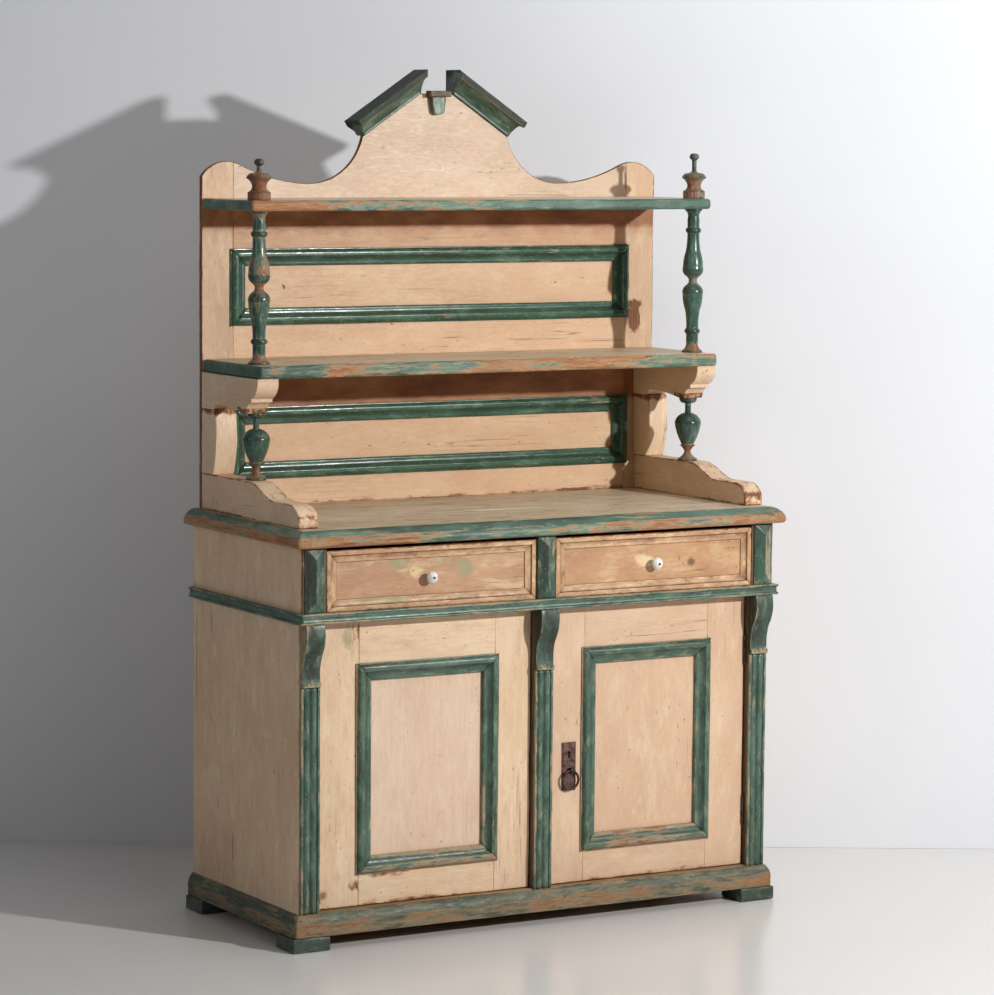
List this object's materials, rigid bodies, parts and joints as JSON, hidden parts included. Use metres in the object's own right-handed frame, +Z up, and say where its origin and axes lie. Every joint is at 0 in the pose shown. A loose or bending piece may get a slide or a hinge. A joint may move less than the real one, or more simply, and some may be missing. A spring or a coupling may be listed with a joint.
{
  "type": "painted buffet cabinet",
  "caption": "Painted pine buffet with a drawer storey over panelled doors, under a tall panelled back with shelves on turned columns and a broken pediment.",
  "frame": {"origin": "on the floor, under the middle of the counter", "axes": "+X to the right of a person facing the doors, +Y to the back, +Z up"},
  "size_m": [1.204, 0.548, 1.8305],
  "materials": {
    "cream_paint": "aged cream paint",
    "green_paint": "worn green paint",
    "bare_pine": "raw aged pine",
    "iron": "rusted",
    "porcelain": "glazed porcelain"
  },
  "bodies": {
    "case": {"feet": "green_paint", "left_side": "cream_paint", "right_side": "cream_paint", "case_bottom": "bare_pine", "back_boards": "bare_pine", "case_stiles": "cream_paint", "centre_muntin": "cream_paint", "drawer_rail": "cream_paint", "drawer_stiles": "cream_paint", "drawer_runners": "bare_pine", "inner_shelf": "bare_pine", "shelf_cleats": "bare_pine", "counter_top": "cream_paint", "base_moulding": "green_paint", "waist_moulding": "green_paint", "pilasters": "green_paint", "corbels": "green_paint", "hipped_blocks": "green_paint", "back_stiles": "cream_paint", "crest_board": "cream_paint", "back_rails": "cream_paint", "back_panels": "cream_paint", "back_panel_mouldings": "green_paint", "raking_cornices": "green_paint", "keystone": "green_paint", "upper_shelf": "green_paint", "lower_shelf": "green_paint", "gallery_rails": "cream_paint", "gallery_uprights": "cream_paint", "shelf_brackets": "cream_paint", "upper_columns": "green_paint", "finials": "green_paint", "balusters": "green_paint", "case_hinge_leaves": "iron", "hinge_pins": "iron"},
    "left_door": {"left_door_stiles": "cream_paint", "left_door_rails": "cream_paint", "left_door_panel": "cream_paint", "left_door_moulding": "green_paint", "left_door_hinge_leaves": "iron"},
    "right_door": {"right_door_stiles": "cream_paint", "right_door_rails": "cream_paint", "right_door_panel": "cream_paint", "right_door_moulding": "green_paint", "right_door_hinge_leaves": "iron", "lock_plate": "iron", "ring_staple": "iron", "lock_case": "iron"},
    "ring": {"ring_pull": "iron"},
    "bolt": {"lock_bolt": "iron"},
    "left_drawer": {"left_drawer_front": "cream_paint", "left_drawer_moulding": "cream_paint", "left_drawer_box": "bare_pine", "left_drawer_bottom": "bare_pine", "left_drawer_knob": "porcelain"},
    "right_drawer": {"right_drawer_front": "cream_paint", "right_drawer_moulding": "cream_paint", "right_drawer_box": "bare_pine", "right_drawer_bottom": "bare_pine", "right_drawer_knob": "porcelain"}
  },
  "joints": [
    {"name": "left_door_swing", "type": "hinge", "parent": "case", "child": "left_door", "pos_m": [-0.5287, -0.2223, 0.38], "axis": [0, 0, -1], "range_deg": [0, 90]},
    {"name": "right_door_swing", "type": "hinge", "parent": "case", "child": "right_door", "pos_m": [0.5287, -0.2223, 0.38], "axis": [0, 0, 1], "range_deg": [0, 90]},
    {"name": "left_drawer_slide", "type": "slide", "parent": "case", "child": "left_drawer", "axis": [0, -1, 0], "range_m": [0, 0.36]},
    {"name": "right_drawer_slide", "type": "slide", "parent": "case", "child": "right_drawer", "axis": [0, -1, 0], "range_m": [0, 0.36]},
    {"name": "ring_swing", "type": "hinge", "parent": "right_door", "child": "ring", "pos_m": [0.079, -0.2279, 0.3264], "axis": [-1, 0, 0], "range_deg": [0, 85]},
    {"name": "bolt_throw", "type": "slide", "parent": "right_door", "child": "bolt", "axis": [-1, 0, 0], "range_m": [0, 0.014]}
  ]
}
